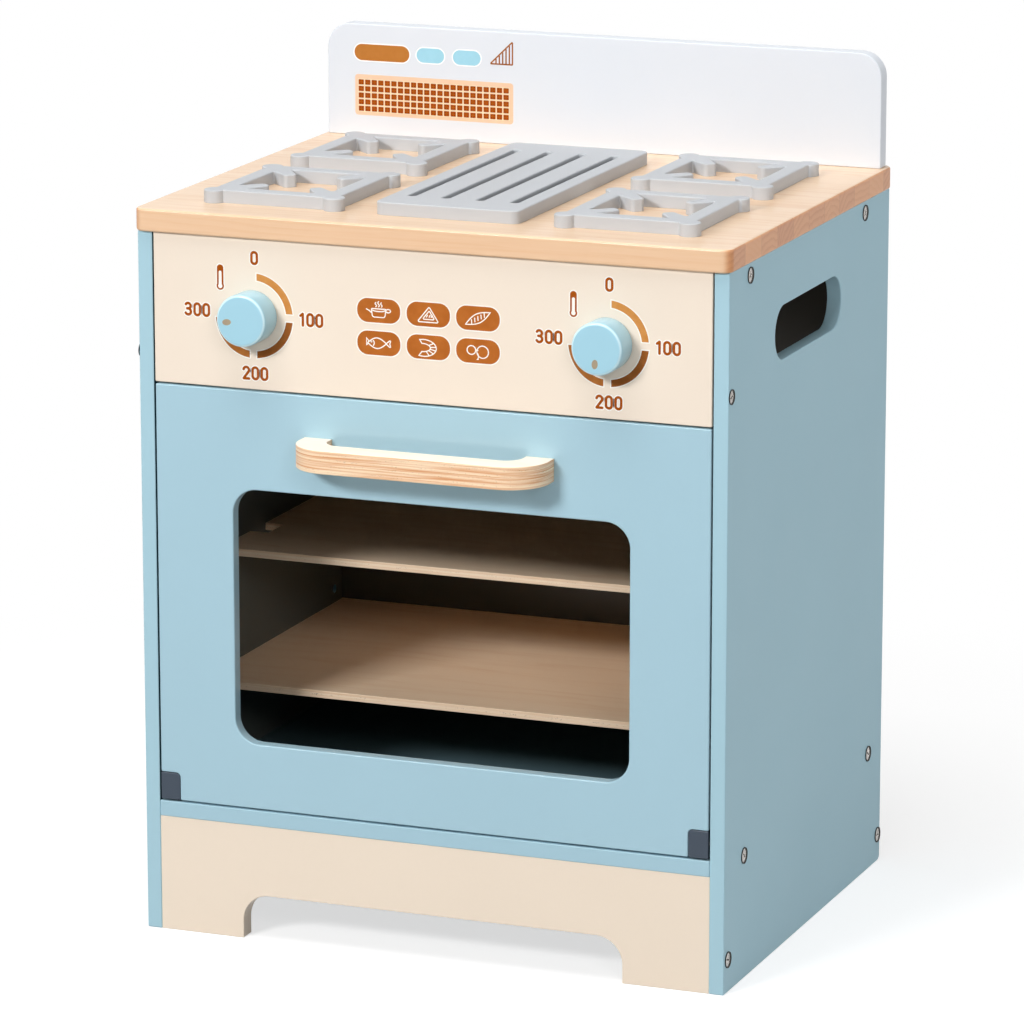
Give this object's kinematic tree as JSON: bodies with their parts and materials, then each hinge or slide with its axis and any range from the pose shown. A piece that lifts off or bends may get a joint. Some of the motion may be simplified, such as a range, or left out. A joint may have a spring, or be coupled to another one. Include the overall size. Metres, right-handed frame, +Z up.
{
  "type": "toy oven",
  "caption": "Wooden toy oven with a windowed drop-down door, bow handle, turning knobs, shelves, a hob with pan supports and a griddle plate, and a low splashback.",
  "frame": {"origin": "on the floor, under the middle of the whole object, handle included", "axes": "+X to the oven's right, -Y out of its front, +Z up"},
  "size_m": [0.403, 0.3586, 0.5562],
  "materials": {
    "blue_paint": "satin paint on wood",
    "cream_paint": "satin paint on wood",
    "white_paint": "satin paint on wood",
    "grey_paint": "satin paint on wood",
    "back_board": "painted hardboard",
    "pine": "clear-coated solid wood",
    "plywood": "clear-coated plywood",
    "dowel_wood": "plain wood",
    "dark_plastic": "moulded, fine grain",
    "steel": "zinc-plated steel"
  },
  "bodies": {
    "cabinet": {"side_panel_left": "blue_paint", "side_panel_right": "blue_paint", "worktop": "pine", "backsplash": "white_paint", "backsplash_dowels": "dowel_wood", "control_panel": "cream_paint", "base_board": "blue_paint", "plinth_front": "cream_paint", "plinth_rear": "cream_paint", "back_panel": "back_board", "top_rail_front": "dowel_wood", "top_rail_rear": "dowel_wood", "worktop_screws": "steel", "shelf_upper": "plywood", "shelf_lower": "plywood", "shelf_pegs_upper": "dowel_wood", "shelf_pegs_lower": "dowel_wood", "grate_front_left": "grey_paint", "grate_front_right": "grey_paint", "grate_rear_left": "grey_paint", "grate_rear_right": "grey_paint", "griddle_plate": "grey_paint", "hob_dowels": "dowel_wood", "side_screws_left": "steel", "side_screws_right": "steel", "hinge_pins": "steel", "door_stop_pegs": "dowel_wood", "catch_block": "dowel_wood", "catch_magnet": "steel", "catch_screws": "steel"},
    "door": {"door_panel": "blue_paint", "handle": "plywood", "handle_screws": "steel", "hinge_block_left": "dark_plastic", "hinge_block_right": "dark_plastic", "hinge_block_screws": "steel", "strike_stud": "steel"},
    "left_knob": {"knob_left": "blue_paint", "knob_spindle_left": "dowel_wood", "knob_washer_left": "steel", "knob_screw_left": "steel"},
    "right_knob": {"knob_right": "blue_paint", "knob_spindle_right": "dowel_wood", "knob_washer_right": "steel", "knob_screw_right": "steel"}
  },
  "joints": [
    {"name": "door_hinge", "type": "hinge", "parent": "cabinet", "child": "door", "pos_m": [0, -0.13975, 0.0977], "axis": [1, 0, 0], "range_deg": [0, 90]},
    {"name": "left_knob_turn", "type": "hinge", "parent": "cabinet", "child": "left_knob", "pos_m": [-0.12, -0.14425, 0.4147], "axis": [0, 1, 0], "continuous": true},
    {"name": "right_knob_turn", "type": "hinge", "parent": "cabinet", "child": "right_knob", "pos_m": [0.12, -0.14425, 0.4147], "axis": [0, 1, 0], "continuous": true}
  ]
}
